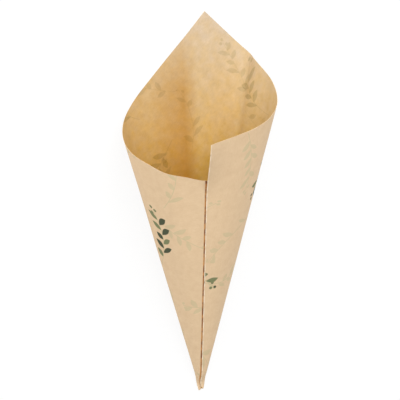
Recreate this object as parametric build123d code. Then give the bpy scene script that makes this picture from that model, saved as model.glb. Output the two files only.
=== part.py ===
from build123d import *
import os
from collections import namedtuple
from math import atan2, ceil, cos, degrees, radians, sin, tan

# A cone bag rolled from one rectangle of kraft paper, lying on its flat back.
# All sizes are millimetres and degrees. The mouth faces -Y and the seam is on top.

# The blank, cut flat: one corner becomes the tip, the opposite one the peak of the mouth
flap_side = 260.7  # from the tip along the free edge of the seam
hidden_side = 220.0  # from the tip along the edge that ends up inside the flap
tip_corner = 90.0  # angle of the blank between those two sides
paper = 0.2  # thickness of the sheet
trim_on_flap = 10.0  # the cut across the tip corner starts this far along the flap side
trim_on_hidden = 3.0  # and ends this far along the hidden side

# How it is rolled
overlap = 7.5  # angle of the sheet that lies under the flap
seam_gap = 0.3  # room for the glue film between the flap and the layer under it
tip_core = 0.7  # the roll is not drawn tighter than this round the tip

# Section of the roll at this distance from the tip, where the seam starts the top panel
section_at = 100.0
base_left = -23.3  # corner where the left side meets the floor
base_right = 35.0
top_left = (-38.6, 44.1)
top_right = (15.6, 37.6)
base_left_radius = 3.0
base_right_radius = 15.3
top_left_radius = 25.4
top_right_radius = 21.0

# The soft fold left in the back from when the bag was pressed flat
fold_angle = 43.3  # on the flat sheet, from the flap side
fold_half_angle = 2.0  # the paper is bent this far to either side of the fold
fold_height = 0.4  # how far it stands in from the base at the section

# How finely the form is worked out
knots = 4  # steps between the points through which a rounded edge runs
chords = 24  # steps in which the sheet's angle is measured along a stretch
fitting_rounds = 12  # tries at the section's size
halvings = 30  # tries at the place of a given angle
widest_bend = 15.0  # a rounding is made of faces that each turn no further than this
least_stretch = 0.01  # angle of the shortest stretch of sheet that gets faces of its own
straight_within = 1e-4  # an edge that bulges less than this is a straight line
fullest_panel = 0.95  # share of a panel's length that the roundings at its ends may take

# One point along the sheet: its place on the section, and its angle on the flat sheet
Knot = namedtuple("Knot", "share angle along out")


def evenly(start, end, steps):
    """Evenly spaced values from start to end, both included."""
    return [start + (end - start) * i / steps for i in range(steps + 1)]


def fitting_radii(corners, radii):
    """The section's roundings, limited where a panel is too short for the two at its ends."""
    points = [Vector(x, z) for x, z in corners]
    panels = [b - a for a, b in zip(points, points[1:] + points[:1])]
    turns = [panels[i - 1].get_angle(panels[i]) for i in range(len(panels))]
    takes = [radius * tan(radians(turn / 2)) for radius, turn in zip(radii, turns)]
    rooms = [
        min(1.0, fullest_panel * panel.length / (a + b))
        for panel, a, b in zip(panels, takes, takes[1:] + takes[:1])
    ]
    return [radius * min(rooms[i - 1], rooms[i]) for i, radius in enumerate(radii)]


def section_edges(scale):
    """The closed section in order, from the seam over the left side, the base and the right."""
    corners = [top_left, (base_left, 0), (base_right, 0), top_right]
    radii = [top_left_radius, base_left_radius, base_right_radius, top_right_radius]
    outline = FilletPolyline(
        *[(scale * x, scale * z) for x, z in corners],
        radius=[scale * radius for radius in fitting_radii(corners, radii)],
        close=True,
    )
    edges = (Plane.XZ.offset(section_at) * outline).wires()[0].order_edges()
    panels = [edge for edge in edges if edge.geom_type == GeomType.LINE]
    top = edges.index(max(panels, key=lambda panel: (panel @ 0.5).Z))
    edges = edges[top:] + edges[:top]
    if (edges[0] @ 1).X > (edges[0] @ 0).X:
        edges = [edge.reversed() for edge in edges[:1] + edges[:0:-1]]
    return edges


def sheet_angle(edge, start=0.0, end=1.0):
    """Angle that part of the section takes up on the flat sheet, seen from the tip."""
    points = [edge @ share for share in evenly(start, end, chords)]
    return sum(a.get_angle(b) for a, b in zip(points, points[1:]))


def share_at_angle(edge, angle):
    """How far along an edge of the section the sheet has turned by an angle."""
    low, high = 0.0, 1.0
    for _ in range(halvings):
        middle = (low + high) / 2
        if sheet_angle(edge, 0, middle) < angle:
            low = middle
        else:
            high = middle
    return (low + high) / 2


def rolled_section():
    """The section at the size where one whole turn takes up the sheet less its overlap."""
    scale = 1.0
    for _ in range(fitting_rounds):
        edges = section_edges(scale)
        scale *= (tip_corner - overlap) / sum(sheet_angle(edge) for edge in edges)
    return edges


def peak_angle():
    """Angle on the flat sheet between the flap side and the corner opposite the tip."""
    corner = radians(tip_corner)
    return degrees(atan2(hidden_side - flap_side * cos(corner), flap_side * sin(corner)))


def rim_distance(angle):
    """Distance from the tip to the blank's far side, which is the edge of the mouth."""
    if angle < peak_angle():
        return flap_side / cos(radians(angle))
    return hidden_side / cos(radians(tip_corner - angle))


def trim_distance(angle):
    """Distance from the tip to the straight cut across the blank's tip corner."""
    from_flap = sin(radians(tip_corner - angle)) / trim_on_flap
    from_hidden = sin(radians(angle)) / trim_on_hidden
    return sin(radians(tip_corner)) / (from_flap + from_hidden)


def sheet_knots(edge, start, end, angle):
    """Points along one stretch of the sheet, each with its ruling and the way out of the roll."""
    shares = evenly(start, end, knots)
    row = []
    for i, share in enumerate(shares):
        if i > 0:
            angle += sheet_angle(edge, shares[i - 1], share)
        along = (edge @ share).normalized()
        out = (edge % share).cross(along).normalized()
        row.append(Knot(share, angle, along, out))
    return row


def sheet_stretches(edges):
    """The sheet from the flap's free edge to its hidden one, cut where its form changes."""
    changes = [fold_angle - fold_half_angle, fold_angle + fold_half_angle]
    changes += [peak_angle(), tip_corner]
    stretches = []
    angle = 0.0
    for edge in edges + edges:
        length = sheet_angle(edge)
        cuts = sorted(change - angle for change in changes)
        cuts = [cut for cut in cuts if least_stretch < cut < length - least_stretch]
        shares = [0.0] + [share_at_angle(edge, cut) for cut in cuts] + [1.0]
        for first, last in zip(shares, shares[1:]):
            bend = (edge % first).get_angle(edge % last)
            places = evenly(first, last, max(1, ceil(bend / widest_bend)))
            for start, end in zip(places, places[1:]):
                stretches.append(sheet_knots(edge, start, end, angle))
                angle = stretches[-1][-1].angle
                if angle > tip_corner - least_stretch:
                    return stretches
    return stretches


def inner_height(angle, distance, roll):
    """How far the paper's inner face lies outside the plain cone."""
    base_end, turn = roll
    part_way = min(max((turn - angle) / (turn - base_end), 0), 1)
    clears_seam = part_way**2 * (3 - 2 * part_way)
    from_fold = min(abs(angle - fold_angle) / fold_half_angle, 1)
    fold = fold_height * distance / section_at * (1 - from_fold**2) ** 2
    return tip_core + clears_seam * (paper + seam_gap) - fold


def paper_edge(row, distance, roll, layer):
    """Edge of the paper along one stretch: straight on a flat panel, else a smooth curve."""
    points = []
    for knot in row:
        reach = distance(knot.angle)
        height = inner_height(knot.angle, reach, roll) + layer
        points.append(knot.along * reach + knot.out * height)
    chord = points[-1] - points[0]
    bulge = max(chord.cross(point - points[0]).length / chord.length for point in points)
    if bulge < straight_within:
        return Edge.make_line(points[0], points[-1])
    return Edge.make_spline(points, parameters=[knot.share for knot in row])


def ruled_face(first, second):
    """Face of straight lines between two edges of the paper, a plane on a flat panel."""
    if first.geom_type == GeomType.LINE and second.geom_type == GeomType.LINE:
        corners = [first @ 0, first @ 1, second @ 1, second @ 0]
        return Face(Wire.make_polygon(corners, close=True))
    return Face.make_surface_from_curves(first, second)


def rolled_sheet():
    """The whole sheet as one closed solid, with its tip at the origin of the roll."""
    edges = rolled_section()
    turn = tip_corner - overlap
    base_end = turn - sum(sheet_angle(edge) for edge in edges[-3:])
    roll = (base_end, turn)
    stretches = sheet_stretches(edges)
    faces = []
    for row in stretches:
        tip_in = paper_edge(row, trim_distance, roll, 0)
        tip_out = paper_edge(row, trim_distance, roll, paper)
        rim_in = paper_edge(row, rim_distance, roll, 0)
        rim_out = paper_edge(row, rim_distance, roll, paper)
        faces += [ruled_face(tip_in, rim_in), ruled_face(tip_out, rim_out)]
        faces += [ruled_face(tip_in, tip_out), ruled_face(rim_in, rim_out)]
        for end_row, end in ((stretches[0], 0), (stretches[-1], 1)):
            if row is end_row:
                corners = [tip_in @ end, tip_out @ end, rim_out @ end, rim_in @ end]
                faces.append(Face(Wire.make_polygon(corners, close=True)))
    return Solid(Shell(faces))


def stood_on_floor(solid):
    """The same solid with the origin on the floor, under the middle of its box."""
    box = solid.bounding_box()
    return Pos(-box.center().X, -box.center().Y, -box.min.Z) * solid


os.makedirs("parts", exist_ok=True)
cone_sheet = stood_on_floor(rolled_sheet())
export_step(cone_sheet, "parts/cone_sheet.step")
print("cone_sheet volume", round(cone_sheet.volume, 1), "valid", cone_sheet.is_valid)
print("size", cone_sheet.bounding_box().size)
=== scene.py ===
# %% [markdown]
# # A printed paper cone, opened and laid on its back
# This bag is one sheet of kraft paper. The lesson cuts that sheet flat, with its real sides,
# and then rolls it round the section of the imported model, so every line of the real bag
# comes by itself: the overlapping seam, the slanted mouth with its peak, and the blunt tip.
# It could be modelled as a cone and cut with a knife, but then nothing would keep the sheet's
# own length, and the print could not lie on the paper as it does on a real sheet.

# %% Load the frame
from math import atan2, cos, degrees, pi, radians, sin, sqrt, tan

import bmesh
import bpy
import numpy as np
from mathutils import Matrix, Vector, noise


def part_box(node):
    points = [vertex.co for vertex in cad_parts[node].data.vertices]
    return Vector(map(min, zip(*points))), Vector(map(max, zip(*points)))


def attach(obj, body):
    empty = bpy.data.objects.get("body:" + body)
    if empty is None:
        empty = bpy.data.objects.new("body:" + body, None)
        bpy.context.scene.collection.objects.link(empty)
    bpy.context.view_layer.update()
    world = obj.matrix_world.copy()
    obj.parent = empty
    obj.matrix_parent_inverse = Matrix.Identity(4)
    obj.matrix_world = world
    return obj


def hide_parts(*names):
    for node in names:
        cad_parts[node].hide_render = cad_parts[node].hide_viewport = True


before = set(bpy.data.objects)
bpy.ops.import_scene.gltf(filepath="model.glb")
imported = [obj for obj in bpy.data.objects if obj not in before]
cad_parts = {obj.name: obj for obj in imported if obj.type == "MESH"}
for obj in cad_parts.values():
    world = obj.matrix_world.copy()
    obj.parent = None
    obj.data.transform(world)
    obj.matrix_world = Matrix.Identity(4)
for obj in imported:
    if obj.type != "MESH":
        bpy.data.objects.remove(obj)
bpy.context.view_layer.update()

mm = 0.001
sheet_low, sheet_high = (Vector(corner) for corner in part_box("cone_sheet"))

# %% [markdown]
# ## The blank
# The blank is a rectangle. One corner is the tip, the two sides that meet there become the
# free edge of the flap and the edge hidden under it, and the corner opposite is the peak.
# A place on the flat sheet is best given as an angle from the flap side and a distance from
# the tip, because rolling keeps each straight line from the tip straight. The sides are those
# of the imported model. Only the cut across the tip corner is finer, as the tip is pinched here.

# %% Sizes of the blank
flap_side = 260.7 * mm
hidden_side = 220.0 * mm
tip_corner = 90.0
overlap = 7.5
paper = 0.2 * mm
trim_on_flap = 7.0 * mm
trim_on_hidden = 1.8 * mm
turn = tip_corner - overlap
peak_angle = degrees(atan2(hidden_side, flap_side))


def rim_distance(angle):
    """Distance from the tip to the mouth's edge, along a line drawn on the flat sheet."""
    if angle < peak_angle:
        return flap_side / cos(radians(angle))
    return hidden_side / cos(radians(tip_corner - angle))


def trim_distance(angle):
    """Distance from the tip to the cut across the tip corner."""
    from_flap = sin(radians(tip_corner - angle)) / trim_on_flap
    from_hidden = sin(radians(angle)) / trim_on_hidden
    return 1 / (from_flap + from_hidden)


print("peak at", round(peak_angle, 1), "degrees,", round(rim_distance(peak_angle) / mm), "mm out")

# %% [markdown]
# ## The section of the roll
# A bag that was packed flat and then opened isn't round. It has a flat back, a tight bend on
# one side and a wide one on the other, and a rounded front. The section is a four-cornered
# outline with rounded corners, drawn 100 mm from the tip. It is walked in small even steps,
# because a table of steps gives both the way each straight line of paper runs and the angle
# of the flat sheet that the walk has used up.

# %% Draw the section
section_at = 100.0
corners = [Vector(place) for place in ((-38.6, 44.1), (-23.3, 0.0), (35.0, 0.0), (15.6, 37.6))]
corner_radii = [25.4, 3.0, 15.3, 21.0]
arc_steps = 90


def rounded_corner(before, corner, after, radius):
    """Points of the arc that rounds one corner, for an outline that turns to the left."""
    back, ahead = (before - corner).normalized(), (after - corner).normalized()
    half = back.angle(ahead) / 2
    centre = corner + (back + ahead).normalized() * radius / sin(half)
    first = corner + back * radius / tan(half) - centre
    start, sweep = atan2(first.y, first.x), pi - 2 * half
    bearings = [start + sweep * step / arc_steps for step in range(arc_steps + 1)]
    return [(centre.x + radius * cos(b), centre.y + radius * sin(b)) for b in bearings]


arcs = [rounded_corner(corners[i - 1], corners[i], corners[(i + 1) % 4], radius)
        for i, radius in enumerate(corner_radii)]
outline = np.array([arcs[3][-1]] + [point for arc in arcs for point in arc])
walked = np.append(0, np.cumsum(np.linalg.norm(np.diff(outline, axis=0), axis=1)))
end_of_second_arc = 2 * (arc_steps + 1)
back_shares = walked[end_of_second_arc:end_of_second_arc + 2] / walked[-1]
print("the section is", round(walked[-1], 1), "mm round, with its back from",
      round(back_shares[0], 3), "to", round(back_shares[1], 3), "of that")

# %% Walk round it in even steps
table_steps = 6000


def unit(rows):
    """Each row of an array at length one."""
    return rows / np.linalg.norm(rows, axis=1, keepdims=True)


def steps_between(rows):
    """Angle in degrees from each direction to the next."""
    return np.degrees(2 * np.arcsin(np.linalg.norm(np.diff(rows, axis=0), axis=1) / 2))


def walk_round(scale):
    """Directions of the lines of paper, and the ways out of the roll, once round the section."""
    even = np.linspace(0, walked[-1], table_steps + 1)
    x, z = (scale * np.interp(even, walked, outline[:, i]) for i in (0, 1))
    along = unit(np.column_stack([x, np.full_like(x, -section_at), z]))
    step = np.column_stack([np.gradient(x), np.zeros_like(x), np.gradient(z)])
    return along, unit(np.cross(step, along))


# %% [markdown]
# ## Fitting the section to the sheet
# One turn of the roll has to use up the sheet less its overlap. The section is drawn larger or
# smaller until it does, which takes only a few tries. The walk is then laid down twice, one
# after the other, because the sheet goes round once and a little more.

# %% Fit the section and make the table
size_tries = 8
scale = 1.0
for _ in range(size_tries):
    scale *= turn / steps_between(walk_round(scale)[0]).sum()
along_once, out_once = walk_round(scale)
angle_once = np.append(0, np.cumsum(steps_between(along_once)))
back_start, back_end = (angle_once[round(share * table_steps)] for share in back_shares)
twice_along = np.vstack([along_once, along_once[1:]])
twice_out = np.vstack([out_once, out_once[1:]])
twice_angle = np.append(angle_once, angle_once[1:] + angle_once[-1])
print("section drawn at", round(scale, 4), "of its size, with its back from",
      round(back_start, 1), "to", round(back_end, 1), "degrees")

# %% [markdown]
# ## Heights of the paper over the plain cone
# A point of the flat sheet goes out along its line by its distance from the tip, and then off
# the plain cone by a small height. That height holds all that makes it paper and not a cone.
# The first two are the room that the seam takes, and the soft fold that is left in the back
# from when the bag was pressed flat. A cloth simulation could find such forms too, but it
# would stretch the sheet a little, and the glued seam would be hard to hold in place.

# %% Seam and soft fold
seam_gap = 0.3 * mm
tip_core = 0.7 * mm
fold_angle = 43.3
fold_height = 0.7 * mm
fold_flanks = (8.0, 5.0)
fold_rounding = 0.08


def soft_step(value):
    """Goes from 0 to 1 smoothly while the value does."""
    value = min(max(value, 0.0), 1.0)
    return value * value * (3 - 2 * value)


def over_seam(angle):
    """Height of the outer face, which rises so that the flap clears the layer under it."""
    clears_seam = soft_step((turn - angle) / (turn - back_end))
    return tip_core + paper + clears_seam * (paper + seam_gap)


def fold(angle, distance):
    """How far the soft fold stands into the bag: a rounded ridge with a short and a long flank."""
    flank = fold_flanks[1] if angle > fold_angle else fold_flanks[0]
    share = abs(angle - fold_angle) / flank
    share = min(sqrt(share**2 + fold_rounding**2), 1)
    return fold_height * distance / (section_at * mm) * (1 - share) ** 2


print("the flap lies", round((over_seam(0) - over_seam(turn)) / mm, 2), "mm over the hidden layer")

# %% [markdown]
# ## Slow waves and the crumpled tip
# Thin paper never lies quite true. Slow buckles run along it and grow towards the mouth. On the
# back they can only lift the paper, because it lies on the floor. At the tip, where the roll
# was drawn tight, it is dented in. Noise gives both, the same on every run, and each kind has
# its own width in degrees round the roll, length along it, and place in the noise.

# %% Waves and dents
wave_height = 0.6 * mm
wave_height_at = 200 * mm
long_waves = (9.0, 160 * mm, 3.7)
short_waves = (5.0, 45 * mm, 8.1)
tip_dents = (7.0, 3 * mm, 1.3)
short_share = 0.35
lifted_share = 0.4
back_margins = (5.0, 6.0)
back_blends = (3.0, 4.0)
crumpled_to = 18.0 * mm
crumple_depth = 0.5 * mm


def rough(angle, distance, kind):
    """Smooth noise from about -1 to 1 over the flat sheet."""
    width, length, place = kind
    return noise.noise(Vector((angle / width, distance / length, place)))


def waves(angle, distance):
    """Slow buckles that run with the lines of paper, and weaker ones across them."""
    mixed = rough(angle, distance, long_waves) + short_share * rough(angle, distance, short_waves)
    wave = wave_height * distance / wave_height_at * mixed
    after_start = (angle - back_start + back_margins[0]) / back_blends[0]
    before_end = (back_end + back_margins[1] - angle) / back_blends[1]
    on_back = soft_step(after_start) * soft_step(before_end)
    return wave * (1 - on_back) - abs(wave) * lifted_share * on_back


def crumple(angle, distance):
    """How far the dents at the tip go in."""
    near_tip = max(1 - distance / crumpled_to, 0)
    return crumple_depth * near_tip * abs(rough(angle, distance, tip_dents))


# %% [markdown]
# ## The mouth's edge
# Three things give this mouth its own line. The flap's corner isn't glued, so it has sprung
# open. The layer under it dips beside the seam. And the tight bend at the side, which stays
# sharp lower down, opens towards the mouth. Each is a smooth bump over a few degrees of the
# sheet that fades out down the bag, so the flat pattern of the sheet stays nearly true.

# %% Sprung corner, dip and opened bend
sprung_from = 205.0 * mm
sprung_height = 9.6 * mm
sprung_angle = 8.0
sunk_from = 140.0 * mm
dip_depth = 2.2 * mm
dip_angle = 78.0
dip_half_angle = 4.5
bend_opens = 2.5 * mm
bend_angle = back_start - 3.0
bend_half_angle = 5.0


def sprung(angle, distance):
    """How far the flap's free corner stands open above the glue."""
    up_the_flap = soft_step((distance - sprung_from) / (flap_side - sprung_from))
    return sprung_height * up_the_flap * max(1 - angle / sprung_angle, 0) ** 2


def sunk(angle, distance):
    """How far the paper goes in towards the mouth, beside the seam and at the tight bend."""
    towards_mouth = soft_step((distance - sunk_from) / (hidden_side - sunk_from))
    dip = dip_depth * soft_step(1 - abs(angle - dip_angle) / dip_half_angle)
    opened = bend_opens * soft_step(1 - abs(angle - bend_angle) / bend_half_angle)
    return (dip + opened) * towards_mouth


def height_at(angle, distance):
    """Height of the paper's outer face over the plain cone."""
    raised = over_seam(angle) + sprung(angle, distance) + waves(angle, distance)
    pressed = fold(angle, distance) + sunk(angle, distance) + crumple(angle, distance)
    return raised - pressed


print("the flap's corner stands", round(height_at(0, flap_side) / mm, 1), "mm off the cone")

# %% [markdown]
# ## Rolling a point of the sheet
# The table gives the way out to a point and the way off the cone there, and the height is
# added. The last few millimetres are pinched flat, pressed down and drawn out, as fingers leave
# them, so the tip closes.

# %% Roll one point
pinched_to = 5.0 * mm
pinched_from = 18.0 * mm
pressed_down = 2.4 * tip_core
drawn_out = 3.2 * mm
spread_out = 0.6 * mm


def rolled(angle, distance):
    """Place in the roll of a point of the flat sheet, with the tip at the origin."""
    along = Vector([np.interp(angle, twice_angle, twice_along[:, i]) for i in range(3)])
    out = Vector([np.interp(angle, twice_angle, twice_out[:, i]) for i in range(3)]).normalized()
    along.normalize()
    pinch = soft_step((pinched_from - distance) / (pinched_from - pinched_to))
    along.z *= 1 - pinch
    height = height_at(angle, distance) - pressed_down * pinch * max(out.z, 0)
    moved = Vector((spread_out * pinch * out.x, drawn_out * pinch, 0))
    return along * distance + out * height + moved


peak_at = rolled(peak_angle, rim_distance(peak_angle))
print("peak at", [round(value / mm, 1) for value in peak_at], "mm from the tip")

# %% [markdown]
# ## Columns and rows of the sheet
# The mesh starts as one flat grid. Its columns become lines from the tip, and they are closer
# where the paper bends hard, so a tight bend stays round while a flat panel spends little.
# One column is moved onto the peak of the mouth, so that the peak is a sharp point, and one
# onto the soft fold.

# %% Place the columns
columns = 300
rows = 100
bend_share = 0.28
used = np.append(0, np.cumsum(steps_between(twice_along) + bend_share * steps_between(twice_out)))
used_up = np.interp(tip_corner, twice_angle, used)
column_angles = np.interp(np.linspace(0, used_up, columns + 1), used, twice_angle)
for fixed in (peak_angle, fold_angle):
    column_angles[np.abs(column_angles - fixed).argmin()] = fixed
print(columns, "columns, from", round(np.diff(column_angles).min(), 3),
      "to", round(np.diff(column_angles).max(), 3), "degrees apart")


# %% [markdown]
# ## Cutting and rolling
# Each point of the grid keeps its place on the flat sheet as its UV, in metres, so a pattern
# can be drawn on the sheet as it lay on the press. Two more values go with it for the
# materials: how far round it is past the seam, and past the fold.

# %% Cut and roll the sheet
def cut_sheet():
    """The sheet's outer face, still around its own tip, with the flat sheet as its UV map."""
    bm = bmesh.new()
    bmesh.ops.create_grid(bm, x_segments=columns, y_segments=rows, size=0.5)
    flat = bm.loops.layers.uv.new("flat_sheet")
    past_seam = bm.verts.layers.float.new("past_seam")
    past_fold = bm.verts.layers.float.new("past_fold")
    places = {}
    for vert in bm.verts:
        angle = column_angles[round((vert.co.x + 0.5) * columns)]
        near, far = trim_distance(angle), rim_distance(angle)
        distance = near + (far - near) * (vert.co.y + 0.5)
        places[vert] = (distance * cos(radians(angle)), distance * sin(radians(angle)))
        vert[past_seam] = radians(angle - turn) * distance
        vert[past_fold] = radians(angle - fold_angle) * distance
        vert.co = rolled(angle, distance)
    for face in bm.faces:
        face.smooth = True
        for loop in face.loops:
            loop[flat].uv = places[loop.vert]
    return bm


sheet_bm = cut_sheet()
print("sheet has", len(sheet_bm.faces), "faces,",
      round(sum(face.calc_area() for face in sheet_bm.faces), 4), "square metres")

# %% [markdown]
# ## Laying the sheet in the frame
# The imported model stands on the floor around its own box, so the roll is moved as a whole.
# The back rests on the floor, the peak gives the place along the bag, and the widest places of
# the mouth give the place across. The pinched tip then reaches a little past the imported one.

# %% Lay it in the frame
rim_xs = [rolled(a, rim_distance(a)).x for a in np.linspace(0, turn, 400)]
tip_at = Vector((
    (sheet_low.x + sheet_high.x) / 2 - (min(rim_xs) + max(rim_xs)) / 2,
    sheet_low.y - peak_at.y,
    tip_core + paper + paper + seam_gap,
))
bmesh.ops.translate(sheet_bm, verts=sheet_bm.verts, vec=tip_at)
tip_end = max(vert.co.y for vert in sheet_bm.verts)
print("tip at", [round(value / mm, 2) for value in tip_at])
print("the tip ends", round((tip_end - sheet_high.y) / mm, 1), "mm past the packed one")

# %% [markdown]
# ## Thickness and the cut edge
# Solidify gives the sheet its thickness inwards from the printed face and closes it along the
# cut edge. It also gives the inside and the cut edge materials of their own, because the real
# sheet is printed on one face only. Its result is kept as the mesh, so that the cut edge can
# be marked sharp.

# %% Give the sheet its thickness
def piece_from(bm, name):
    """An object at the origin from a finished bmesh."""
    mesh = bpy.data.meshes.new(name)
    bm.to_mesh(mesh)
    bm.free()
    piece = bpy.data.objects.new(name, mesh)
    bpy.context.scene.collection.objects.link(piece)
    return piece


above = Vector((0, 0, 0.1))
top_face = min(sheet_bm.faces, key=lambda face: (face.calc_center_median() - above).length)
if top_face.normal.z < 0:
    bmesh.ops.reverse_faces(sheet_bm, faces=sheet_bm.faces)
cone = piece_from(sheet_bm, "rolled_sheet")
wall = cone.modifiers.new("paper", "SOLIDIFY")
wall.thickness = paper
wall.offset = -1
wall.material_offset = 1
wall.material_offset_rim = 2
for finish in ("printed_kraft", "bare_kraft", "cut_kraft"):
    cone.data.materials.append(bpy.data.materials.new(finish))
cone_now = cone.evaluated_get(bpy.context.evaluated_depsgraph_get())
walled = bpy.data.meshes.new_from_object(cone_now)
cone.modifiers.clear()
cone.data = walled
walled.set_sharp_from_angle(angle=radians(40))
print("rolled_sheet has", len(walled.polygons), "faces and", len(walled.materials), "materials")

# %% Tell the frame what the piece is
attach(cone, "root")
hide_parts("cone_sheet")
print("cut from", round(hidden_side / mm, 1), "by", round(flap_side / mm, 1), "mm")

# %% [markdown]
# ## Helpers for the materials
# Colours are written as a painter reads them from a swatch, in sRGB, and turned to the linear
# values that a shader takes. One helper adds a node and joins it up, so that a material reads
# from top to bottom like a recipe.

# %% Colour and node helpers
def paint(code):
    """An sRGB hex colour as the linear one that a shader takes."""
    values = [int(code[i:i + 2], 16) / 255 for i in (1, 3, 5)]
    return [v / 12.92 if v <= 0.04045 else ((v + 0.055) / 1.055) ** 2.4 for v in values] + [1.0]


def add(tree, kind, inputs=(), **settings):
    """Adds one node. Its inputs, listed or named, are values, sockets or other nodes."""
    node = tree.nodes.new("ShaderNode" + kind)
    for name, value in settings.items():
        setattr(node, name, value)
    for key, value in inputs.items() if isinstance(inputs, dict) else enumerate(inputs):
        if isinstance(value, bpy.types.Node):
            value = next(socket for socket in value.outputs if socket.enabled)
        if isinstance(value, bpy.types.NodeSocket):
            tree.links.new(value, node.inputs[key])
        else:
            node.inputs[key].default_value = value
    return node


def fresh_tree(owner):
    """The node tree of a material or a world, emptied."""
    owner.use_nodes = True
    owner.node_tree.nodes.clear()
    return owner.node_tree


# %% [markdown]
# ## Kraft paper
# Kraft paper is unbleached wood pulp pressed between rollers. Seen close, it is clouded over
# about 7 mm, where the pulp is thicker or thinner, and streaked by fibres of 1 to 3 mm, which
# lie mostly along the web of the machine. Real fibres are too thin to show in the picture, so
# they are drawn as streaks almost 1 mm wide and 3 mm long. Kraft paper has no coating, so it is
# rough and has almost no gloss. The patterns are drawn on the flat sheet, in millimetres, so
# they bend with the paper and meet the seam as they would on a real sheet.

# %% Paper stuff
cloud_size = 7.0
fibres_per_mm = 1.1
fibre_squeeze = 0.28
web_direction = radians(28)


def flat_millimetres(tree):
    """Place on the flat sheet in millimetres."""
    flat = add(tree, "UVMap", uv_map="flat_sheet")
    return add(tree, "VectorMath", {0: flat, "Scale": 1 / mm}, operation="SCALE")


def kraft_stuff(tree, where, pale, dark):
    """Colour and relief of bare kraft paper."""
    clouds = add(tree, "TexNoise", {"Vector": where, "Scale": 1 / cloud_size, "Detail": 5.0,
                                    "Roughness": 0.62}, noise_dimensions="2D")
    web = add(tree, "Mapping", {"Vector": where, "Rotation": (0, 0, web_direction),
                                "Scale": (fibre_squeeze, 1.0, 1.0)})
    fibres = add(tree, "TexNoise", {"Vector": web, "Scale": fibres_per_mm, "Detail": 3.0,
                                    "Roughness": 0.6}, noise_dimensions="2D")
    stuff = add(tree, "Mix", {0: 0.4, 2: clouds, 3: fibres})
    shade = add(tree, "MapRange", {0: stuff, 1: 0.3, 2: 0.7})
    colour = add(tree, "Mix", {0: shade, 6: paint(dark), 7: paint(pale)}, data_type="RGBA")
    return colour, fibres


def paper_shader(tree, colour, relief, strength):
    """Matt paper with the relief of its fibres, which stand up by less than 0.05 mm."""
    bump = add(tree, "Bump", {"Height": relief, "Strength": strength, "Distance": 0.05 * mm})
    shader = add(tree, "BsdfPrincipled", {"Base Color": colour, "Roughness": 0.82, "IOR": 1.45,
                                          "Normal": bump})
    add(tree, "OutputMaterial", [shader])


# %% [markdown]
# ## Printed twigs: the stems
# The outside is printed with loose twigs in dark green, and with paler ones in sage that look
# like their shadows. A cell pattern scatters them over the flat sheet, one stem to a cell, and
# turns and bends each one its own way. They could be placed one by one, but cells also give
# every twig chances of its own, which the leaflets need next.

# %% Scatter the stems
scatter = 0.6
stem_bend = 0.018


def nearest_stem(tree, where, spacing, shift):
    """Place along and across the cell's stem in millimetres, and a chance for the whole twig."""
    moved = add(tree, "VectorMath", [where, shift], operation="ADD")
    cell = add(tree, "TexVoronoi", {"Vector": moved, "Scale": 1 / spacing, "Randomness": scatter},
               voronoi_dimensions="2D")
    own = add(tree, "VectorMath", [moved, cell.outputs["Position"]], operation="SUBTRACT")
    chance = add(tree, "SeparateColor", [cell.outputs["Color"]])
    bearing = add(tree, "Math", [chance.outputs[0], 2 * pi], operation="MULTIPLY")
    turned = add(tree, "VectorRotate", {"Vector": own, "Angle": bearing}, rotation_type="Z_AXIS")
    along, across, _ = add(tree, "SeparateXYZ", [turned]).outputs
    square = add(tree, "Math", [along, along], operation="MULTIPLY")
    bend = add(tree, "MapRange", {0: chance.outputs[1], 3: -stem_bend, 4: stem_bend})
    bow = add(tree, "Math", [square, bend], operation="MULTIPLY")
    across = add(tree, "Math", [across, bow], operation="SUBTRACT")
    return along, across, chance.outputs[2]


# %% [markdown]
# ## Printed twigs: the leaflets
# Within a cell the plane is folded along the stem and sheared, so that evenly spaced ribs leave
# the stem at a slant and curl a little. One side is moved by half a step, so the leaflets
# alternate. Each is a lens along its rib, widest before the middle. The rib's number gives a
# leaflet its own length and tone, and leaves some out. Leaflets could be cut as small flat
# meshes too, but ink has no thickness.

# %% Draw the leaflets
leaflet_lean = radians(38)
leaflet_curl = 0.05
leaflet_lengths = (0.6, 1.1)
leaflet_belly = 0.8
leaflet_edge = 0.35
left_out = 0.25


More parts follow.
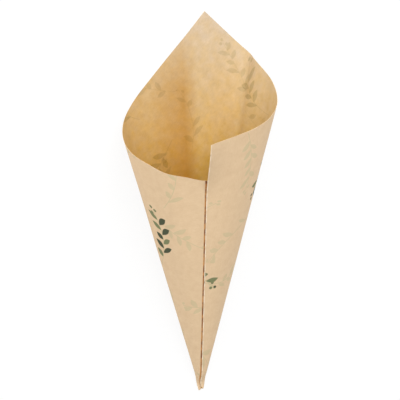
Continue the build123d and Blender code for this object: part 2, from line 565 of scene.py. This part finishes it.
def leaflets(tree, along, across, chance, pairs, gap, length, width):
    """Mask of the leaflets of a twig, and a chance for each of them to choose its tone by."""
    side = add(tree, "Math", [across], operation="SIGN")
    off_stem = add(tree, "Math", [across], operation="ABSOLUTE")
    slant = add(tree, "Math", [off_stem, leaflet_curl, -1 / tan(leaflet_lean)],
                operation="MULTIPLY_ADD")
    root = add(tree, "Math", [off_stem, slant, along], operation="MULTIPLY_ADD")
    root = add(tree, "Math", [side, gap / 4, root], operation="MULTIPLY_ADD")
    number = add(tree, "Math", [root, gap], operation="DIVIDE")
    number = add(tree, "Math", [number], operation="ROUND")
    off_rib = add(tree, "Math", [number, -gap, root], operation="MULTIPLY_ADD")
    key = add(tree, "CombineXYZ", [number, side, chance])
    own_chance = add(tree, "TexWhiteNoise", [key], noise_dimensions="3D")
    lot = add(tree, "SeparateColor", [own_chance.outputs["Color"]])
    shortest, longest = (share * length for share in leaflet_lengths)
    own_length = add(tree, "MapRange", {0: lot.outputs[0], 3: shortest, 4: longest})
    up_the_rib = add(tree, "Math", [off_stem, 1 / sin(leaflet_lean)], operation="MULTIPLY")
    up_the_rib = add(tree, "Math", [off_rib, cos(leaflet_lean), up_the_rib],
                     operation="MULTIPLY_ADD")
    share = add(tree, "Math", [up_the_rib, own_length], operation="DIVIDE", use_clamp=True)
    belly = add(tree, "Math", [share, leaflet_belly], operation="POWER")
    half_turn = add(tree, "Math", [belly, pi], operation="MULTIPLY")
    swell = add(tree, "Math", [half_turn], operation="SINE")
    half_width = add(tree, "Math", [swell, width / 2], operation="MULTIPLY")
    off_rib = add(tree, "Math", [off_rib], operation="ABSOLUTE")
    inside = add(tree, "Math", [off_rib, -sin(leaflet_lean), half_width],
                 operation="MULTIPLY_ADD")
    mask = add(tree, "MapRange", {0: inside, 1: 0.0, 2: leaflet_edge})
    from_middle = add(tree, "Math", [number], operation="ABSOLUTE")
    on_stem = add(tree, "Math", [from_middle, pairs + 0.5], operation="LESS_THAN")
    grown = add(tree, "Math", [lot.outputs[1], left_out], operation="GREATER_THAN")
    for there in (on_stem, grown):
        mask = add(tree, "Math", [mask, there], operation="MULTIPLY")
    return mask, lot.outputs[2]


# %% Add stems and berries
stem_half_width = (0.5, 0.15)
berry_radius = (1.6, 1.2)
berry_places = ((0, 2.2), (2.6, -0.6), (-2.8, -2.4))


def twigs(tree, where, spacing, shift, pairs, gap, length, width):
    """Masks of leaflets with berries and of stems, and a chance for each leaflet's tone."""
    along, across, chance = nearest_stem(tree, where, spacing, shift)
    mask, tone = leaflets(tree, along, across, chance, pairs, gap, length, width)
    stem_end = (pairs + 1.2) * gap
    from_middle = add(tree, "Math", [along], operation="ABSOLUTE")
    on_stem = add(tree, "Math", [from_middle, stem_end], operation="LESS_THAN")
    off_stem = add(tree, "Math", [across], operation="ABSOLUTE")
    line = add(tree, "MapRange", {0: off_stem, 1: stem_half_width[0], 2: stem_half_width[1]})
    stem = add(tree, "Math", [line, on_stem], operation="MULTIPLY")
    place = add(tree, "CombineXYZ", [along, across])
    for past_end, aside in berry_places:
        berry = add(tree, "VectorMath", [place, (stem_end + past_end, aside, 0)],
                    operation="DISTANCE").outputs["Value"]
        berry = add(tree, "MapRange", {0: berry, 1: berry_radius[0], 2: berry_radius[1]})
        mask = add(tree, "Math", [mask, berry], operation="MAXIMUM")
    return mask, stem, tone


# %% [markdown]
# ## The printed face
# Ink on kraft paper sinks in, so it takes on some of the paper's clouds. The pale twigs are
# printed first and thinly, and the dark ones over them, in two greens.

# %% Print the outer face
dark_layer = dict(spacing=88.0, shift=(160.0, 130.0, 0.0),
                  pairs=2, gap=9.5, length=17.0, width=4.3)
pale_layer = dict(spacing=62.0, shift=(160.0, 45.0, 0.0),
                  pairs=2, gap=9.0, length=16.0, width=3.8)
dark_green = paint("#36412A")
olive = paint("#727852")
sage = paint("#BDB28A")
olive_share = 0.3
pale_ink = 0.5
pale_stem_ink = 0.6
dark_stem_ink = 0.8
dark_ink = 0.97


def ink(tree, under, colour, mask, strength, how="MIX"):
    """Lays a thin ink over the colour under it, or with MULTIPLY lets the ink stain it."""
    cover = add(tree, "Math", [mask, strength], operation="MULTIPLY")
    return add(tree, "Mix", {0: cover, 6: under, 7: colour}, data_type="RGBA", blend_type=how)


def printed(tree, colour, where):
    """The paper's colour with both layers of twigs on it."""
    leaflet, stem, _ = twigs(tree, where, **pale_layer)
    colour = ink(tree, colour, sage, leaflet, pale_ink)
    colour = ink(tree, colour, sage, stem, pale_stem_ink)
    leaflet, stem, tone = twigs(tree, where, **dark_layer)
    darker = add(tree, "Math", [tone, olive_share], operation="GREATER_THAN")
    green = add(tree, "Mix", {0: darker, 6: olive, 7: dark_green}, data_type="RGBA")
    colour = ink(tree, colour, sage, stem, dark_stem_ink)
    return ink(tree, colour, green, leaflet, dark_ink)


# %% [markdown]
# ## The seam line and wear
# Along the seam, on the layer beside the flap's edge, the paper is coloured in a band about a
# millimetre wide, amber in some places and dark brown in others, which fades out near the very
# tip. The flap's free edge is scuffed down to the pulp, more in some places than in others.
# Both are bands on the flat sheet, broken up by one noise.

# %% Finish the printed face
seam_line_amber = paint("#C0813F")
seam_line_brown = paint("#7A4218")
pulp = paint("#F2E4CC")
patch_size = 7.0
seam_line_edge = (-1.4 * mm, -0.9 * mm)
seam_line_off_tip = (7.0, 14.0)
seam_line_strength = (0.1, 0.9)
worn_edge = (1.0, 0.5)
scuff_strength = (0.25, 0.8)


def seam_line_and_worn(tree, colour, where):
    """The printed colour with the brown line along the seam and the scuffs on the flap's edge."""
    patches = add(tree, "TexNoise", {"Vector": where, "Scale": 1 / patch_size, "Detail": 3.0},
                  noise_dimensions="2D")
    browner_patches = add(tree, "MapRange", {0: patches, 1: 0.4, 2: 0.6})
    brown = add(tree, "Mix", {0: browner_patches, 6: seam_line_amber, 7: seam_line_brown}, data_type="RGBA")
    # A brown line along the seam beside the flap's edge, amber in some patches and dark brown in
    # others.
    past_seam = add(tree, "Attribute", attribute_name="past_seam").outputs["Fac"]
    seam_line = add(tree, "MapRange", {0: past_seam, 1: seam_line_edge[0], 2: seam_line_edge[1]})
    from_tip = add(tree, "VectorMath", [where], operation="LENGTH").outputs["Value"]
    off_tip = add(tree, "MapRange", {0: from_tip, 1: seam_line_off_tip[0], 2: seam_line_off_tip[1],
                                     3: seam_line_strength[0], 4: seam_line_strength[1]})
    colour = ink(tree, colour, brown, seam_line, off_tip)
    from_edge = add(tree, "SeparateXYZ", [where]).outputs["Y"]
    worn = add(tree, "MapRange", {0: from_edge, 1: worn_edge[0], 2: worn_edge[1]})
    scuffs = add(tree, "MapRange", {0: patches, 1: 0.45, 2: 0.55,
                                    3: scuff_strength[0], 4: scuff_strength[1]})
    return ink(tree, colour, pulp, worn, scuffs)


def finish_printed(material):
    """Printed kraft paper: the outer face."""
    tree = fresh_tree(material)
    where = flat_millimetres(tree)
    colour, relief = kraft_stuff(tree, where, "#DDC19C", "#D4B691")
    colour = seam_line_and_worn(tree, printed(tree, colour, where), where)
    paper_shader(tree, colour, relief, 0.5)


finish_printed(bpy.data.materials["printed_kraft"])
print("printed_kraft has", len(bpy.data.materials["printed_kraft"].node_tree.nodes), "nodes")

# %% [markdown]
# ## The inside and the cut edge
# The sheet is thin, so a weak trace of the print shows on the inside, in the same places. Deep
# in a real cone the light has met the paper many times, which makes it a deeper gold. The
# strip beside the soft fold is turned from the light, so it is a little browner in its shade, and
# by the rim the wall on the flap's side is paler, as light comes through the thin sheet there.
# Bounced light alone gives too little of these, so the inside's colour has them painted in: a
# painted deeper gold, a painted shade by the fold and a painted paler light by the rim. The cut
# edge is paler, because it shows the pulp without the pressed skin.

# %% Colour of the inside
see_through = paint("#CBCDB4")
deep_gold = paint("#FFE57C")
painted_fold_shade = paint("#E8D3AA")
lit_pulp = paint("#F0DDBF")
mottle_size = 8.0
unevenness = 80.0
gold_between = (380.0, 226.0)
lit_by_the_rim = (240.0, 310.0)
lit_past_fold = (-30 * mm, -100 * mm)
lit_strength = 0.3
strip_fades = (36 * mm, 4 * mm)
strip_begins = (-9 * mm, 4 * mm)
strip_off_peak = (334.0, 274.0)
faded_strength = 0.34


def inside_colour(tree, colour, where):
    """The bare paper's colour, paler by the lit rim, deeper down the cone, with painted shade by
    the fold.
    """
    from_tip = add(tree, "VectorMath", [where], operation="LENGTH").outputs["Value"]
    mottle = add(tree, "TexNoise", {"Vector": where, "Scale": 1 / mottle_size, "Detail": 4.0},
                 noise_dimensions="2D")
    uneven = add(tree, "Math", [mottle, unevenness, from_tip], operation="MULTIPLY_ADD")
    past_fold = add(tree, "Attribute", attribute_name="past_fold").outputs["Fac"]
    lit_wall = add(tree, "MapRange", {0: past_fold, 1: lit_past_fold[0], 2: lit_past_fold[1]})
    by_the_rim = add(tree, "MapRange", {0: uneven, 1: lit_by_the_rim[0], 2: lit_by_the_rim[1],
                                        4: lit_strength})
    colour = ink(tree, colour, lit_pulp, lit_wall, by_the_rim)
    depth = add(tree, "MapRange", {0: uneven, 1: gold_between[0], 2: gold_between[1]})
    colour = ink(tree, colour, deep_gold, depth, 1.0, "MULTIPLY")
    # Painted shade: the strip beside the soft fold, which is turned from the light, is made
    # browner.
    fading = add(tree, "MapRange", {0: past_fold, 1: strip_fades[0], 2: strip_fades[1],
                                    3: faded_strength, 4: 1.0})
    rising = add(tree, "MapRange", {0: past_fold, 1: strip_begins[0], 2: strip_begins[1]})
    strip = add(tree, "Math", [fading, rising], operation="MULTIPLY")
    off_peak = add(tree, "MapRange", {0: from_tip, 1: strip_off_peak[0], 2: strip_off_peak[1]})
    strip = add(tree, "Math", [strip, off_peak], operation="MULTIPLY")
    return ink(tree, colour, painted_fold_shade, strip, 1.0, "MULTIPLY")


# %% Finish the inside and the cut edge
pale_trace = 0.35
dark_trace = 0.55
stem_trace = 0.6


def finish_bare(material):
    """Bare kraft paper: the inner face."""
    tree = fresh_tree(material)
    where = flat_millimetres(tree)
    colour, relief = kraft_stuff(tree, where, "#CDB79A", "#BDA78A")
    colour = inside_colour(tree, colour, where)
    for layer, strength in ((pale_layer, pale_trace), (dark_layer, dark_trace)):
        leaflet, stem, _ = twigs(tree, where, **layer)
        colour = ink(tree, colour, see_through, leaflet, strength, "MULTIPLY")
        colour = ink(tree, colour, see_through, stem, strength * stem_trace, "MULTIPLY")
    paper_shader(tree, colour, relief, 0.6)


def finish_cut(material):
    """Cut kraft paper: the thin edge all round."""
    tree = fresh_tree(material)
    colour, relief = kraft_stuff(tree, flat_millimetres(tree), "#EBD5B2", "#DFC49B")
    paper_shader(tree, colour, relief, 0.3)


finish_bare(bpy.data.materials["bare_kraft"])
finish_cut(bpy.data.materials["cut_kraft"])
print("nodes in each:", [(m.name, len(m.node_tree.nodes)) for m in walled.materials])

# %% [markdown]
# ## Camera
# The picture looks down on the lying bag, a little from its side and from the mouth, with the
# tip towards the lower edge of the frame. The camera is given by the point it looks at, the way
# back to it, and how far it is rolled about that line. It stands a metre off with a long lens,
# which shows the near and the far end of the bag at nearly the same scale.

# %% Set up the camera
looks_at = tip_at + Vector((-2.32, -180.62, 29.67)) * mm
camera_azimuth = radians(60.08)
camera_elevation = radians(67.11)
camera_roll = radians(113.55)
camera_distance = 1.0
back_to_camera = Vector((
    sin(camera_azimuth) * cos(camera_elevation),
    -cos(camera_azimuth) * cos(camera_elevation),
    sin(camera_elevation),
))


def facing(place, target):
    """Place of a lamp or camera that stands at one point and faces another."""
    turned = (Vector(place) - target).to_track_quat("Z", "Y").to_matrix().to_4x4()
    return Matrix.Translation(place) @ turned


camera = bpy.data.objects.new("camera", bpy.data.cameras.new("camera"))
bpy.context.scene.collection.objects.link(camera)
camera_at = looks_at + back_to_camera * camera_distance
camera.matrix_world = facing(camera_at, looks_at) @ Matrix.Rotation(camera_roll, 4, "Z")
camera.data.lens = 104.2
camera.data.sensor_width = 36.0
camera.data.clip_start = 0.01
bpy.context.scene.camera = camera
print("camera at", [round(value, 3) for value in camera_at])

# %% [markdown]
# ## Floor and light
# The photograph is a bright studio shot on white. A large soft lamp before the mouth gives the
# gentle fall of light into the cone, one at its side lights the wall across from it, and the
# world fills the rest. Seen directly, the floor is mostly a plain white glow and the world is
# white too, so both stay white, while the floor keeps a faint shadow of the bag.

# %% Floor
floor_glow = 0.88


def seen_directly(tree):
    """Is 1 for what the camera sees, straight or in a gloss, and 0 for what lights the bag."""
    rays = add(tree, "LightPath").outputs
    seen = add(tree, "Math", [rays["Is Camera Ray"], rays["Is Glossy Ray"]], operation="MAXIMUM")
    return add(tree, "Math", [seen, rays["Is Transmission Ray"]], operation="MAXIMUM")


floor_bm = bmesh.new()
bmesh.ops.create_grid(floor_bm, x_segments=1, y_segments=1, size=3.0)
floor = piece_from(floor_bm, "floor")
card = bpy.data.materials.new("white_card")
tree = fresh_tree(card)
lit = add(tree, "BsdfDiffuse", {"Color": paint("#F4F4F4")})
white = add(tree, "Emission", {"Color": paint("#FFFFFF"), "Strength": 1.0})
seen = add(tree, "Math", [seen_directly(tree), floor_glow], operation="MULTIPLY")
add(tree, "OutputMaterial", [add(tree, "MixShader", [seen, lit, white])])
floor.data.materials.append(card)
print("the floor glows by", floor_glow, "where it is seen directly")


# %% Lamps and world
def soft_lamp(name, place, size, power):
    """A square lamp that faces the bag."""
    lamp = bpy.data.objects.new(name, bpy.data.lights.new(name, "AREA"))
    lamp.data.size = size
    lamp.data.energy = power
    lamp.matrix_world = facing(place, looks_at)
    bpy.context.scene.collection.objects.link(lamp)


room_light = 0.58
soft_lamp("front_lamp", place=(-0.35, -1.1, 1.2), size=1.4, power=21.0)
soft_lamp("side_lamp", place=(1.0, -0.6, 1.3), size=1.6, power=14.0)
world = bpy.data.worlds.new("studio")
bpy.context.scene.world = world
tree = fresh_tree(world)
strength = add(tree, "MapRange", {0: seen_directly(tree), 3: room_light, 4: 1.0})
sky = add(tree, "Background", {"Color": paint("#FFFFFF"), "Strength": strength})
add(tree, "OutputWorld", [sky])
bpy.context.scene.view_settings.view_transform = "Standard"
print("lamps:", [lamp.name for lamp in bpy.data.lights])
